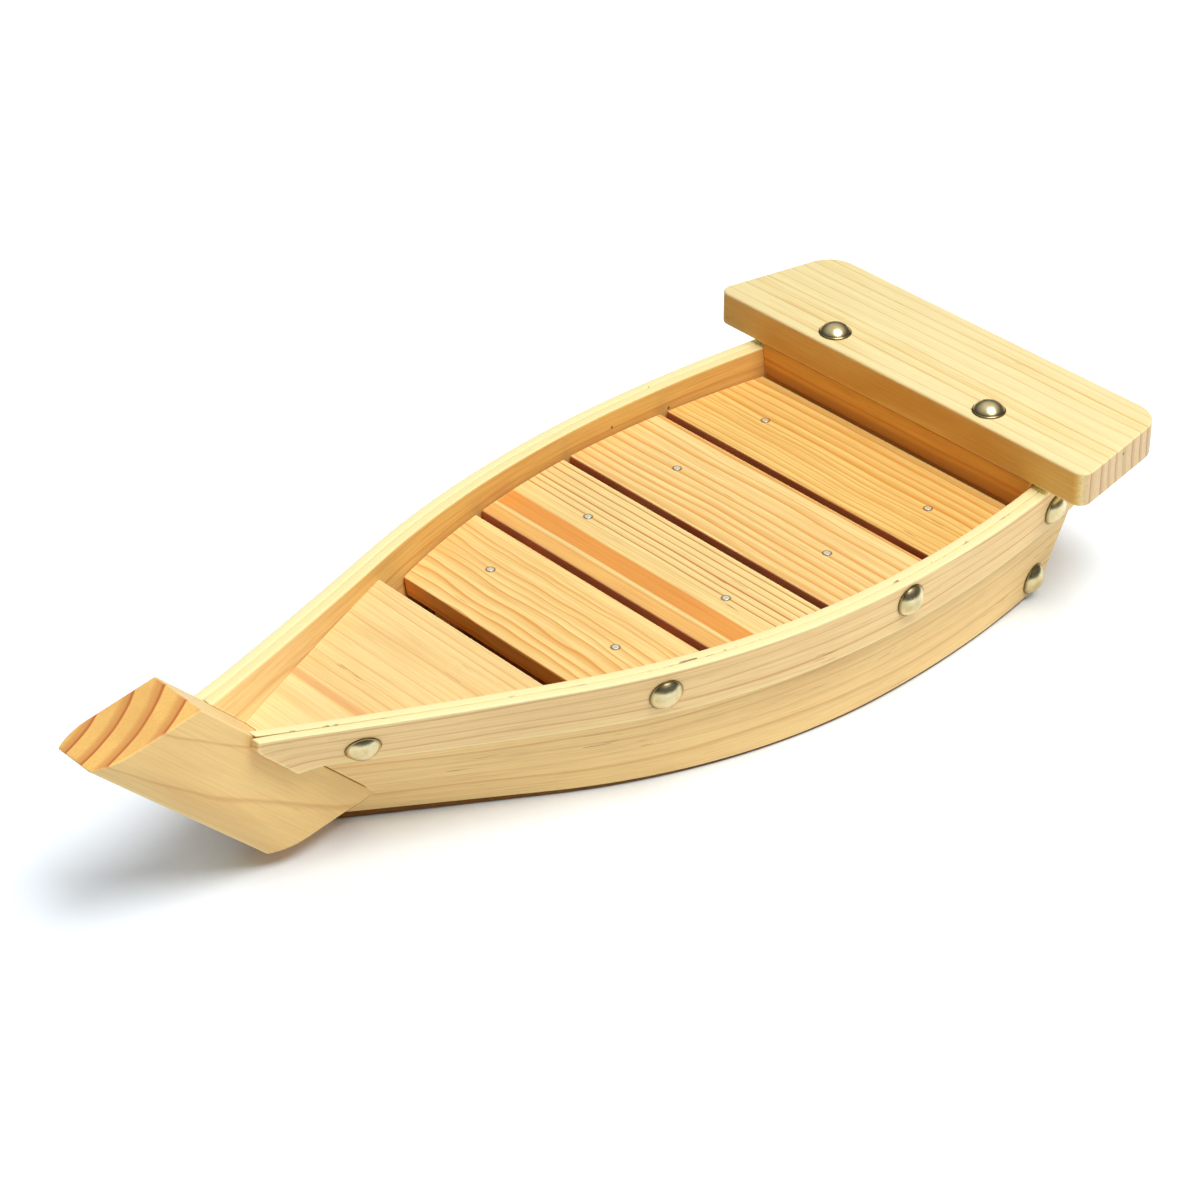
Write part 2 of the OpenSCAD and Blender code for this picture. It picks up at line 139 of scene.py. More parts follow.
def sheerZ(x):
    dx = x - hull["sheerX"]
    return hull["sideH"] + dx ** 2 / (2 * np.where(dx < 0, hull["sheerSternR"], hull["sheerBowR"]))


def plankTopZ(x):
    return np.where(x < hull["sheerX"], np.minimum(sheerZ(x), boardZ - stern["plankRoom"]), sheerZ(x))


def plankLowZ(x):
    return hull["plankLift"] + np.maximum(x - tongueX + hull["forefootBack"], 0) ** 2 / (2 * hull["forefootR"])


def plankZ(x, f):
    return plankLowZ(x) + f * (plankTopZ(x) - plankLowZ(x))


def railZ(x, f):
    return plankTopZ(x) - rail["height"] * (1 - f)


def sideY(x, z, out):
    # the side is ruled at each station between the plan curve at the table and the one at the gunwale
    low = planHalf(x, hull["bottomHalf"] + out, hull["bottomWidest"],
                   bottomBowR + out, hull["bottomSternR"] + out, hull["bottomBowA"])
    high = planHalf(x, hull["gunwaleHalf"] + out, hull["gunwaleWidest"],
                    gunwaleBowR + out, hull["gunwaleSternR"] + out, hull["gunwaleBowA"])
    return low + (high - low) * z / sheerZ(x)


def railY(x, z, out):
    # soft maximum of the plank's face and the stem's face
    onPlank, onStem = sideY(x, z, out), stem["width"] / 2 + out
    return (onPlank + onStem + np.sqrt((onPlank - onStem) ** 2 + rail["twist"] ** 2)) / 2


def sternEndX(z):
    return transomBackX + hull["sternLap"] - z * np.tan(hull["sternRake"])


def jointFade(z):
    # 1 below the rail, 0 behind it
    f = np.clip((hull["jointTop"] - z) / hull["jointBlend"], 0, 1)
    return f * f * (3 - 2 * f)


def jointShift(z):
    # below the rail the planks stop a little short, at the line where they meet the stem
    return -hull["jointBack"] * jointFade(z)


def plankBowX(z):
    onToe = stemAftX(cutZ) + hull["toe"] * np.clip((cutZ - z) / cutZ, 0, 1) ** hull["toePower"]
    gap = seam + (hull["jointGap"] - seam) * jointFade(z)
    return np.where(z > cutZ, stemAftX(z), onToe) + jointShift(z) - gap


def railBowX(z):
    # upright at the top corner, raked below it
    return rail["bluntX"] - np.maximum(rail["bluntZ"] - z, 0) / np.tan(rail["rake"])


def meetEnd(f, start, heightAt, endAt, rounds=8):
    # x where the line at height f meets a raked end, found by repeating a guess that closes in
    x = np.full_like(f, start)
    for _ in range(rounds):
        x = endAt(heightAt(x, f))
    return x


def cutsOf(size, edge, count, close=0.2, soft=1.4):
    # places of the cuts across a face: one close to each rounded edge, the rest even
    even = np.linspace(edge + soft, size - edge - soft, count)
    return np.concatenate(([edge + close], even, [size - edge - close]))


def joined(*parts):
    return np.stack(parts, axis=-1)


def bothHalves(first, second):
    # one half of an outline, then the other half back
    return np.concatenate((first, second[:, ::-1]), axis=1)


def barOutline(width, depth, edge, cuts, arcs=4):
    # half of a rounded rectangle, from the middle of one narrow side to the other, for any inset
    turn = np.linspace(np.pi, 1.5 * np.pi, arcs + 1)

    def half(inset):
        r = edge - inset
        first = inset + r + r * np.cos(turn)
        last = width - first[:, ::-1]
        low = inset + r + r * np.sin(turn)
        flat = np.repeat(inset, len(cuts), axis=1)
        w = np.concatenate((first, np.repeat(cuts[None, :], len(inset), axis=0), last), axis=1)
        d = np.concatenate((low, flat, low[:, ::-1]), axis=1)
        return bothHalves(w, w), bothHalves(d, depth - d)

    return half


def skinOf(outline, length, endEdge, cuts, arcs=4):
    # carries an outline along a path and draws it in along a quarter circle at both ends
    turn = np.linspace(0, np.pi / 2, arcs + 1)
    run = endEdge * (1 - np.cos(turn))
    draw = endEdge * (1 - np.sin(turn))
    s = np.concatenate((run, cuts, length - run[::-1]))
    inset = np.concatenate((draw, np.zeros(len(cuts)), draw[::-1]))
    w, d = outline(inset[:, None])
    return np.repeat(s[:, None], w.shape[1], axis=1), w, d


endShare = 0.8


def barSkin(length, width, depth, edge, widthCuts, count):
    # a rounded bar, its ends rounded a little less than its long edges
    outline = barOutline(width, depth, edge, cutsOf(width, edge, widthCuts))
    return skinOf(outline, length, edge * endShare, cutsOf(length, edge, count))


def ringFaces(steps, n):
    # quads between neighbouring rings
    k, i = np.meshgrid(np.arange(steps - 1) * n, np.arange(n), indexing="ij")
    j = (i + 1) % n
    return joined(k + i, k + j, k + n + j, k + n + i).reshape(-1, 4)


def skinFaces(steps, n):
    # the same, with strips of quads that close both ends
    i = np.arange(n // 2 - 1)
    start = joined(i + 1, i, n - 1 - i, n - 2 - i)
    end = (steps - 1) * n + joined(i, i + 1, n - 2 - i, n - 1 - i)
    return np.concatenate((ringFaces(steps, n), start, end))


wearReach = 1.8


def wearOf(s, w, d, length, width, depth):
    # 1 on a rounded edge, falling to 0 a little way in; the second nearest side is how far the edge is
    near = np.sort(np.stack((np.minimum(s, length - s), np.minimum(w, width - w), np.minimum(d, depth - d))), axis=0)
    return np.clip(1 - near[1] / wearReach, 0, 1)


def tipOf(s, length, edge):
    # 1 on the end faces, 0 past the rounded edge
    return np.clip(1 - np.minimum(s, length - s) / edge, 0, 1)


def outward(points, faces):
    # turns the faces round if the enclosed volume comes out negative
    a, b, c, d = (points[faces[:, k]] for k in range(4))
    volume = np.sum(a * np.cross(b, c)) + np.sum(a * np.cross(c, d))
    return faces if volume > 0 else faces[:, ::-1]


def show(thing):
    bpy.context.scene.collection.objects.link(thing)


def addPiece(name, points, faces, material, body, nodes, board=None, wear=None, tip=None, shadedSide=None, rim=None):
    # points in millimetres; board is each point's place along, across and through the grain; wear is 1 on edges,
    # tip where the grain ends, a side mask on sides that get painted shade, rim round a metal head, painted dark as
    # shade
    points = np.asarray(points, float).reshape(-1, 3)
    mesh = bpy.data.meshes.new(name)
    mesh.from_pydata((points * mm).tolist(), [], outward(points, faces).tolist(), shade_flat=False)
    if board is not None:
        grain = mesh.attributes.new("board", "FLOAT_VECTOR", "POINT")
        grain.data.foreach_set("vector", np.asarray(board, np.float32).reshape(-1))
        shadedSide = np.zeros(len(points)) if shadedSide is None else shadedSide
    for key, values in (("wear", wear), ("tip", tip), ("shadedSide", shadedSide), ("rim", rim)):
        if values is not None:
            kept = mesh.attributes.new(key, "FLOAT", "POINT")
            kept.data.foreach_set("value", np.asarray(values, np.float32).reshape(-1))
    mesh.materials.append(material)
    mesh.update()
    piece = bpy.data.objects.new(name, mesh)
    show(piece)
    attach(piece, body)
    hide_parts(*nodes)


def addNode(tree, kind, inputs, **settings):
    # a shader node, by its outputs; each input is a value or another node's output
    made = tree.nodes.new("ShaderNode" + kind)
    for key, value in settings.items():
        setattr(made, key, value)
    for key, value in inputs.items():
        if isinstance(value, bpy.types.NodeSocket):
            tree.links.new(value, made.inputs[key])
        else:
            made.inputs[key].default_value = value
    return made.outputs


def addRamp(tree, value, stops):
    ramp = tree.nodes.new("ShaderNodeValToRGB")
    tree.links.new(value, ramp.inputs["Fac"])
    elements = ramp.color_ramp.elements
    for position, colour in stops[1:-1]:
        elements.new(position).color = colour
    for element, stop in ((elements[0], stops[0]), (elements[len(elements) - 1], stops[-1])):
        element.position, element.color = stop
    return ramp.outputs["Color"]


def emptyMaterial(name):
    material = bpy.data.materials.new(name)
    material.use_nodes = True
    material.node_tree.nodes.clear()
    return material, material.node_tree


# a board's look where its own dictionary does not say
plainPine = {
    "bendAlong": 90.0, "uneven": 1.6, "phase": 0.0, "soft": 0.3, "line": 0.78, "faint": 0.1, "cloud": 0.3,
    "fibreDepth": 0.34, "hair": 0.16, "fleckFrom": 0.72, "wearAndSheen": 0.5, "rough": 0.46,
    "bands": (), "nails": (), "spots": ()}
# noise along the grain: length and breadth in millimetres, detail, a step on from the board's seed
layers = {
    "fibre": (34.0, 0.7, 3.0, 11.0), "hair": (12.0, 0.26, 2.0, 23.0), "cloud": (70.0, 13.0, 2.0, 37.0),
    "fleck": (15.0, 0.55, 1.0, 51.0), "patch": (40.0, 14.0, 0.0, 67.0), "gap": (8.0, 40.0, 3.0, 83.0)}
# how those layers mix, the same on every board
wood = {
    "seedStep": (1.0, 1.7, 0.6), "noiseRough": 0.55,
    "bendAcross": 26.0, "bendDetail": 2.0, "unevenPace": 0.45, "powerPace": 0.8, "powerSpan": 0.45,
    "cloudSpan": (0.42, 0.72), "fibreSpan": (0.30, 0.62), "hairSpan": (0.28, 0.5),
    "fleckSpan": 0.06, "fleckDepth": 0.75, "patchSpan": (0.5, 0.62),
    "nailSpan": (1.3, 1.9), "nailDepth": 0.85, "nailShadeColour": tint(84, 56, 30),
    "spotCore": 0.3, "spotDepth": 0.85, "spotColour": tint(80, 52, 34),
    "wearSpan": (0.25, 1.0), "sheenAndWearSpan": (0.2, 0.6), "litTopFrom": 0.7, "litTopFull": 0.1, "litTopDepth": 0.75,
    "jointSpan": (0.3, 0.6), "gapSpan": 0.07, "gapDepth": 0.75, "roughSwing": 0.16, "sawnRough": 0.35,
    "lateHeight": 0.5, "fibreHeight": 0.7, "hairHeight": 0.35, "relief": 0.22, "reliefDepth": 0.00022, "gloss": 0.35}


def pine(name, look):
    # growth rings round a pith that lies along the board, bent by slow noise, with fibres, flecks and worn edges
    look = {**plainPine, **look}
    material, tree = emptyMaterial(name)
    add = partial(addNode, tree)

    def calc(operation, *values, clamp=False):
        return add("Math", dict(enumerate(values)), operation=operation, use_clamp=clamp)[0]

    def times(a, b):
        return calc("MULTIPLY", a, b)

    def invert(value):
        return calc("SUBTRACT", 1.0, value)

    def move(operation, *values):
        made = add("VectorMath", dict(enumerate(values)), operation=operation)
        return made["Value" if operation in ("LENGTH", "DISTANCE") else "Vector"]

    def mixed(amount, low, high, way="MIX"):
        return add("Mix", {0: amount, 6: low, 7: high}, data_type="RGBA", blend_type=way)[2]

    def soften(value, low, high):
        made = add("MapRange", {0: value, 1: low, 2: high, 3: 0.0, 4: 1.0}, interpolation_type="SMOOTHSTEP")
        return made[0]

    def painted(key):
        return add("Attribute", {}, attribute_name=key)

    place = painted("board")["Vector"]
    tip, sideShade, wearAndSheen = (painted(key)["Fac"] for key in ("tip", "shadedSide", "wear"))

    def streaks(along, across, detail, step):
        start = look["seed"] + step
        placed = add("Mapping", {"Vector": place, "Location": [start * k for k in wood["seedStep"]],
                                 "Scale": (1 / along, 1 / across, 1 / across)})
        noise = {"Vector": placed[0], "Scale": 1.0, "Detail": detail, "Roughness": wood["noiseRough"]}
        return add("TexNoise", noise)

    slow = streaks(look["bendAlong"], wood["bendAcross"], wood["bendDetail"], 0.0)["Color"]
    bend = move("MULTIPLY", move("SUBTRACT", slow, (0.5, 0.5, 0.5)), (0.0, look["bend"], look["bend"]))
    bent = move("ADD", place, bend)
    if "lean" in look:
        # the pith drifts across the board along its length, on a shallow curve
        slope, curve, start = look["lean"]
        along = calc("SUBTRACT", add("SeparateXYZ", {0: place})[0], start)
        drift = times(along, calc("ADD", slope, times(along, curve)))
        bent = move("ADD", bent, add("CombineXYZ", {1: drift})[0])
    fromPith = move("SUBTRACT", bent, (0.0, *look["pith"]))
    radius = move("LENGTH", move("MULTIPLY", fromPith, (0.0, 1.0, 1.0)))
    turns = calc("DIVIDE", radius, look["ringGap"])
    if "crowd" in look:
        # past one radius the rings crowd together: a soft ramp adds more rings for each millimetre
        start, extra, ease = look["crowd"]
        past = calc("SUBTRACT", radius, start)
        ramp = calc("ADD", past, calc("SQRT", calc("ADD", times(past, past), ease * ease)))
        turns = calc("ADD", turns, times(ramp, extra / 2))

    def ringNoise(pace, detail):
        # noise that changes from ring to ring
        noise = {"W": times(turns, pace), "Scale": 1.0, "Detail": detail}
        return add("TexNoise", noise, noise_dimensions="1D")[0]

    shifted = calc("ADD", turns, times(ringNoise(wood["unevenPace"], 1.0), look["uneven"]))
    phase = calc("FRACT", calc("ADD", shifted, look["phase"]))

    def ringLevels(levels):
        # one year's growth: pale wood that darkens slowly, a dense line, then pale again at once
        levels = ((0.0, 0.0), *levels, (1.0, 0.0))
        return addRamp(tree, phase, [(position, (level, level, level, 1.0)) for position, level in levels])

    soft, line = look["soft"], look["line"]
    late = ringLevels(((0.45, 0.26 * soft), (line, 0.04 + 0.68 * soft), (0.55 + 0.45 * line, 1.0), (0.965, 0.85)))
    if "tipBand" in look:
        # end grain shows each ring as a broad amber band with a dark outer line
        band = look["tipBand"]
        ends = ringLevels(((0.5, 0.06 * band), (0.68, 0.8 * band), (0.84, band), (0.92, 1.0), (0.965, 0.9)))
        late = add("Mix", {0: tip, 2: late, 3: ends})[0]
    power = ringNoise(wood["powerPace"], 0.0)
    late = times(late, soften(power, look["faint"], look["faint"] + wood["powerSpan"]))
    fibre, hair, cloud, fleck, patch = (
        streaks(*layers[key])[0] for key in ("fibre", "hair", "cloud", "fleck", "patch"))

    early, dense, amount = look["early"], look["late"], look["contrast"]
    if "tipEarly" in look:
        early = mixed(tip, early, look["tipEarly"])
        dense = mixed(tip, dense, look["tipLate"])
        amount = add("MapRange", {0: tip, 3: look["contrast"], 4: look["tipContrast"]})[0]
    colour = mixed(times(late, amount), early, dense)
    for low, high, blur, shade, share in look["bands"]:
        # a band of darker or paler wood between two places across the board
        across = add("SeparateXYZ", {0: bent})[1]
        inside = times(soften(across, low - blur, low + blur), invert(soften(across, high - blur, high + blur)))
        colour = mixed(times(inside, share), colour, shade)
    colour = mixed(times(soften(cloud, *wood["cloudSpan"]), look["cloud"]), colour, look["late"])
    colour = mixed(times(invert(soften(fibre, *wood["fibreSpan"])), look["fibreDepth"]), colour, look["late"])
    colour = mixed(times(invert(soften(hair, *wood["hairSpan"])), look["hair"]), colour, look["dark"])
    flecked = soften(fleck, look["fleckFrom"], look["fleckFrom"] + wood["fleckSpan"])
    flecked = times(flecked, soften(patch, *wood["patchSpan"]))
    colour = mixed(times(flecked, wood["fleckDepth"]), colour, look["dark"])
    for nail in look["nails"]:
        # crushed, darker wood round a brad's head, deepened with painted shade round the head
        ring = invert(soften(move("DISTANCE", place, nail), *wood["nailSpan"]))
        colour = mixed(times(ring, wood["nailDepth"]), colour, wood["nailShadeColour"])
    for spot, size in look["spots"]:
        # a pin-hole or a small dark knot
        hole = invert(soften(move("DISTANCE", place, spot), size * wood["spotCore"], size))
        colour = mixed(times(hole, wood["spotDepth"]), colour, wood["spotColour"])
    # painted shade on the masked sides: the gaps between slats, the planks' inner faces, the stern board's front and
    # the rim under the planks
    if "shadedSide" in look:
        colour = mixed(sideShade, colour, mixed(1.0, colour, look["shadedSide"], "MULTIPLY"))
    # edges turn pale: partly real wear, partly a painted highlight on the rounded edges, strongest on the rails
    onEdge = soften(calc("SUBTRACT", wearAndSheen, tip, clamp=True), *wood["wearSpan"])
    edgeWearAndSheen = times(onEdge, times(soften(cloud, *wood["sheenAndWearSpan"]), look["wearAndSheen"]))
    colour = mixed(edgeWearAndSheen, colour, look["pale"])
    if "litTopAndJoint" in look:
        # the top edge is painted paler than the sides, a painted highlight where light falls on it; the glued joint in
        # it is open in places
        level, through = look["litTopAndJoint"]
        parts = add("SeparateXYZ", {0: place})
        litTop = soften(parts[1], level - wood["litTopFrom"], level - wood["litTopFull"])
        colour = mixed(times(litTop, wood["litTopDepth"]), colour, look["pale"])
        section = add("CombineXYZ", {1: parts[1], 2: parts[2]})[0]
        near = invert(soften(move("DISTANCE", section, (0.0, level, through)), *wood["jointSpan"]))
        gaps = soften(streaks(*layers["gap"])[0], look["gapFrom"], look["gapFrom"] + wood["gapSpan"])
        colour = mixed(times(near, times(gaps, wood["gapDepth"])), colour, look["dark"])

    rough = calc("ADD", look["rough"], times(calc("SUBTRACT", fibre, late), wood["roughSwing"]))
    rough = calc("ADD", rough, times(sideShade, wood["sawnRough"]))
    grainHeight = calc("ADD", times(fibre, wood["fibreHeight"]), times(hair, wood["hairHeight"]))
    height = calc("ADD", times(late, wood["lateHeight"]), grainHeight)
    relief = add("Bump", {"Strength": wood["relief"], "Distance": wood["reliefDepth"], "Height": height})
    surface = add("BsdfPrincipled", {"Base Color": colour, "Roughness": rough, "Normal": relief[0],
                                     "Specular IOR Level": wood["gloss"]})
    add("OutputMaterial", {"Surface": surface[0]})
    return material


polish = {"stainSpan": (0.32, 0.68), "stainDetail": 4.0, "dentDetail": 2.0, "dentDepth": 0.0001}


def metal(name, look):
    # polished metal with faint stains and tiny dents, and a dark line round the head that is painted shade
    material, tree = emptyMaterial(name)
    add = partial(addNode, tree)
    place = add("TexCoord", {})["Object"]
    stains = add("TexNoise", {"Vector": place, "Scale": look["stainScale"], "Detail": polish["stainDetail"]})[0]
    dents = add("TexNoise", {"Vector": place, "Scale": look["dentScale"], "Detail": polish["dentDetail"]})[0]
    stained = addRamp(tree, stains, list(zip(polish["stainSpan"], (look["tarnish"], look["bright"]))))
    rough = add("MapRange", {"Value": stains, "To Min": look["roughHigh"], "To Max": look["roughLow"]})
    relief = add("Bump", {"Strength": look["dents"], "Distance": polish["dentDepth"], "Height": dents})
    # the rim of the head is painted dark, as shade in the crease round it
    rim = add("Attribute", {}, attribute_name="rim")["Fac"]
    colour = add("Mix", {0: rim, 6: stained, 7: look["rim"]}, data_type="RGBA")
    surface = add("BsdfPrincipled", {"Base Color": colour[2], "Roughness": rough[0],
                                     "Normal": relief[0], "Metallic": look["metallic"]})
    add("OutputMaterial", {"Surface": surface[0]})
    return material


# side planks and rails: a rounded bar bent along the hull, raked at both ends
sides = (("port", 1.0), ("starboard", -1.0))
# the planks' inner faces are painted warmer and darker as shade, fading out toward the bow where light falls on them
insideShade, shadeFadeFrom, shadeFadeTo = tint(238, 222, 184), 45.0, 100.0
plankCommon = {
    "early": tint(254, 218, 149), "dark": tint(120, 74, 36), "pith": (-60.0, 30.0),
    "litTopAndJoint": (hull["plankH"], 0.0), "shadedSide": insideShade}
plankLook = {
    "port": {
        **plankCommon, "late": tint(204, 140, 74), "pale": tint(255, 246, 186), "ringGap": 6.0, "bend": 11.0,
        "bendAlong": 150.0, "contrast": 0.75, "soft": 0.1, "faint": 0.28, "seed": 3.0, "cloud": 0.14,
        "fibreDepth": 0.2, "fleckFrom": 0.69, "gapFrom": 0.6},
    "starboard": {
        **plankCommon, "late": tint(210, 154, 90), "pale": tint(255, 244, 180), "ringGap": 7.0, "bend": 6.0,
        "contrast": 0.5, "soft": 0.2, "seed": 17.0, "fleckFrom": 0.8, "gapFrom": 0.67,
        "spots": [((-97.6, 39.0, plankT), 0.8), ((-73.0, 41.4, plankT), 0.7)]}}
# the rails' edges are painted paler than wear alone would make them, as a highlight on their rounded corners
railCommon = {
    **tones((255, 221, 157), (204, 140, 76), (120, 74, 36), (255, 246, 186)),
    "pith": (70.0, 20.0), "soft": 0.1, "cloud": 0.14, "fibreDepth": 0.2, "wearAndSheen": 0.8,
    "litTopAndJoint": (rail["height"], rail["thick"] - seam)}
railLook = {
    "port": {
        **railCommon, "ringGap": 4.6, "bend": 9.0, "bendAlong": 140.0, "contrast": 0.75, "faint": 0.22, "seed": 29.0,
        "fleckFrom": 0.69, "gapFrom": 0.6},
    "starboard": {**railCommon, "ringGap": 6.0, "bend": 6.0, "contrast": 0.6, "seed": 41.0, "gapFrom": 0.67}}


def bentStrip(height, thick, edge, heightAt, bowAt, faceAt, count=110, heightCuts=9):
    # laid out on an even length, then stretched between the raked ends; faceAt is the half breadth at any depth
    length = hull["stripL"]
    s, w, d = barSkin(length, height, thick, edge, heightCuts, count)
    f = w / height
    aft, fore = meetEnd(f, transomBackX, heightAt, sternEndX), meetEnd(f, stemJointX, heightAt, bowAt)
    x = aft + (fore - aft) * s / length
    z = heightAt(x, f)
    y = np.maximum(faceAt(x, z, d), hull["midRoom"] + hull["midSpread"] * (1 - d / thick))
    points, board = joined(x, y, z), joined(x, w, d)
    return points, skinFaces(*s.shape), board, wearOf(s, w, d, length, height, thick), tipOf(s, length, edge)


for side, sign in sides:
    flip = np.array([1.0, sign, 1.0])
    points, faces, board, wear, tip = bentStrip(
        hull["plankH"], plankT, hull["plankEdge"], plankZ, plankBowX, lambda x, z, d: sideY(x, z, -d))
    # painted shade on the inner face, fading out toward the bow
    inside = np.clip(2 * board[..., 2] / plankT - 1, 0, 1)
    inside = inside * (1 - np.clip((board[..., 0] - shadeFadeFrom) / (shadeFadeTo - shadeFadeFrom), 0, 1))
    addPiece(side + "SidePlank", points * flip, faces, pine(side + "PlankPine", plankLook[side]), "hull",
             [side + "_side_plank"], board, wear, tip, inside)
    points, faces, board, wear, tip = bentStrip(
        rail["height"], rail["thick"] - seam, rail["edge"], railZ, railBowX,
        lambda x, z, d: railY(x, z, rail["thick"] - d))
    addPiece(side + "Rail", points * flip, faces, pine(side + "RailPine", railLook[side]), "hull",
             [side + "_rail"], board, wear, tip)
print("planks and rails built")


def crossBoard(name, aftX, foreAt, low, high, room, edge, look, body, node, count=60, widthCuts=9):
    # a board that lies across the boat, its ends cut to the planks; foreAt gives the forward edge at each height
    depth = high - low
    width = float(foreAt(np.array(high))) - aftX
    length = 2 * float(sideY(np.array(aftX + width / 2), np.array(high), -plankT - room))
    s, w, d = barSkin(length, width, depth, edge, widthCuts, count)
    z = low + d
    x = aftX + (foreAt(z) - aftX) * w / width
    y = (2 * s / length - 1) * sideY(x, z, -plankT - room)
    addPiece(
        name, joined(x, y, z), skinFaces(*s.shape), pine(name + "Pine", look), body, [node],
        joined(y, x - aftX, d), wearOf(s, w, d, length, width, depth), tipOf(s, length, edge), tipOf(w, width, edge))


def straightEdge(x):
    return lambda z: np.full_like(z, x)


brads = {"shift": [-2.5, -2.5, -0.5, 0.0], "headR": 1.3, "proud": 0.2, "shankR": 0.6, "grip": 7.0}


def slatAftX(i):
    return grateForeX - slatW - i * (slatW + grate["slatGap"])


def bradSeat(i, sign):
    x = slatAftX(i) + slatW / 2 + brads["shift"][i]
    return x, sign * (grate["battenY"] + (grateMidX - x) * np.tan(grate["battenSpread"]))


# the slats' sides in the gaps, and the first slat's front, are painted darker and redder as shade
slatGapShade, slatFrontShade = tint(200, 104, 24), tint(250, 190, 88)
slatCommon = {"shadedSide": slatGapShade, "hair": 0.1, "wearAndSheen": 0.25}
slatLooks = [
    {**slatCommon, **tones((255, 227, 152), (230, 156, 62), (150, 80, 34), (255, 236, 170)),
     "shadedSide": slatFrontShade, "ringGap": 3.2, "pith": (56.0, -16.0), "bend": 8.0,
     "bendAlong": 60.0, "contrast": 0.9, "soft": 0.7, "seed": 61.0, "cloud": 0.15},
    {**slatCommon, **tones((255, 231, 156), (198, 104, 26), (144, 74, 30), (255, 240, 180)),
     "ringGap": 2.9, "pith": (-60.0, 8.0), "bend": 2.5, "contrast": 1.0,
     "hair": 0.08, "fibreDepth": 0.2, "seed": 73.0, "cloud": 0.1, "uneven": 0.8,
     "bands": [(19.5, 23.5, 0.5, tint(255, 226, 150), 0.8), (24.5, 32.5, 0.6, tint(240, 158, 66), 0.9),
               (34.0, 50.0, 0.8, tint(246, 178, 84), 0.7)]},
    {**slatCommon, **tones((255, 229, 156), (232, 158, 66), (152, 82, 34), (255, 238, 176)),
     "ringGap": 3.4, "pith": (-50.0, -24.0), "bend": 5.0, "contrast": 0.95,
     "soft": 0.9, "seed": 89.0, "cloud": 0.12, "uneven": 0.7},
    {**slatCommon, **tones((255, 221, 134), (226, 148, 50), (150, 80, 32), (255, 232, 160)),
     "ringGap": 4.0, "crowd": (113.0, 0.26, 4.0), "pith": (-90.0, 4.0), "bend": 5.0,
     "bendAlong": 70.0, "contrast": 0.85, "soft": 0.75, "uneven": 1.1, "faint": -0.1, "seed": 97.0, "cloud": 0.18}]
for i, look in enumerate(slatLooks):
    seats = [bradSeat(i, sign) for _, sign in sides]
    look["nails"] = [(y, x - slatAftX(i), grate["slatT"]) for x, y in seats]
    crossBoard(f"deckSlat{i + 1}", slatAftX(i), straightEdge(slatAftX(i) + slatW), slatZ, grate["deckZ"],
               grate["slatRoom"], grate["edge"], look, "grate", f"deck_slat_{i + 1}")

foredeckLook = {
    **tones((254, 224, 154), (232, 174, 100), (150, 86, 48), (255, 238, 184)),
    "ringGap": 4.6, "pith": (-70.0, 14.0), "bend": 4.5, "contrast": 0.66, "soft": 0.2, "faint": 0.15,
    "fleckFrom": 0.7, "uneven": 1.2, "seed": 113.0, "cloud": 0.25, "hair": 0.1,
    "bands": [(47.6, 51.0, 1.2, tint(238, 172, 108), 0.75), (52.5, 80.0, 1.2, tint(255, 232, 166), 0.7),
              (57.0, 61.0, 2.0, tint(246, 190, 116), 0.4)]}
beamTop = foredeck["topZ"] - foredeck["thick"]
crossBoard("foredeck", foredeckAftX, lambda z: stemAftX(z) - seam, beamTop, foredeck["topZ"],
           hull["glueRoom"], foredeck["edge"], foredeckLook, "hull", "foredeck", widthCuts=24)

transomLook = {
    **tones((255, 193, 90), (218, 135, 51), (130, 64, 22), (246, 198, 120)),
    "ringGap": 6.0, "pith": (-40.0, -30.0), "bend": 4.0, "contrast": 0.7, "seed": 127.0, "cloud": 0.4,
    "bands": [(31.0, 35.0, 1.2, tint(150, 76, 30), 0.5)]}


def transomBoard():
    # like a cross board, but its broad face stands upright
    width, depth, length, edge = boardZ - bottomT, stern["transomT"], stern["transomL"], stern["transomEdge"]
    s, w, d = barSkin(length, width, depth, edge, widthCuts=8, count=40)
    x, z = transomBackX + d, bottomT + w
    y = (2 * s / length - 1) * sideY(x, z, -plankT - seam)
    addPiece("transom", joined(x, y, z), skinFaces(*s.shape), pine("transomPine", transomLook), "hull",
             ["transom"], joined(y, w, d), wearOf(s, w, d, length, width, depth),
             tipOf(s, length, edge))


transomBoard()
shadedLook = {
    **tones((206, 152, 92), (172, 112, 58), (110, 66, 32), (220, 172, 112)),
    "ringGap": 5.0, "pith": (-30.0, -20.0), "bend": 4.0, "contrast": 0.6, "cloud": 0.35, "rough": 0.6}
bearerTop = battenZ - grate["bearerRoom"]
foreBearerX = grateForeX - grate["bearerInset"] - grate["bearerW"]
beamX = foredeckAftX + foredeck["beamInset"]
for name, node, aftX, width, low, high, seed in (
        ("foreBearer", "fore_bearer", foreBearerX, grate["bearerW"], bottomT, bearerTop, 139.0),
        ("aftBearer", "aft_bearer", transomFrontX, grate["bearerW"], bottomT, bearerTop, 151.0),
        ("foredeckBeam", "foredeck_beam", beamX, foredeck["beamW"], beamTop - foredeck["beamH"], beamTop, 163.0)):
    crossBoard(name, aftX, straightEdge(aftX + width), low, high, hull["glueRoom"], grate["barEdge"],
               {**shadedLook, "seed": seed}, "hull", node, count=40, widthCuts=4)
print("cross boards built")

# the rim under the planks is painted darker, as shade under the planks' lower edge
bottomLook = {**shadedLook, "seed": 173.0, "ringGap": 8.0, "shadedSide": tint(164, 152, 116)}


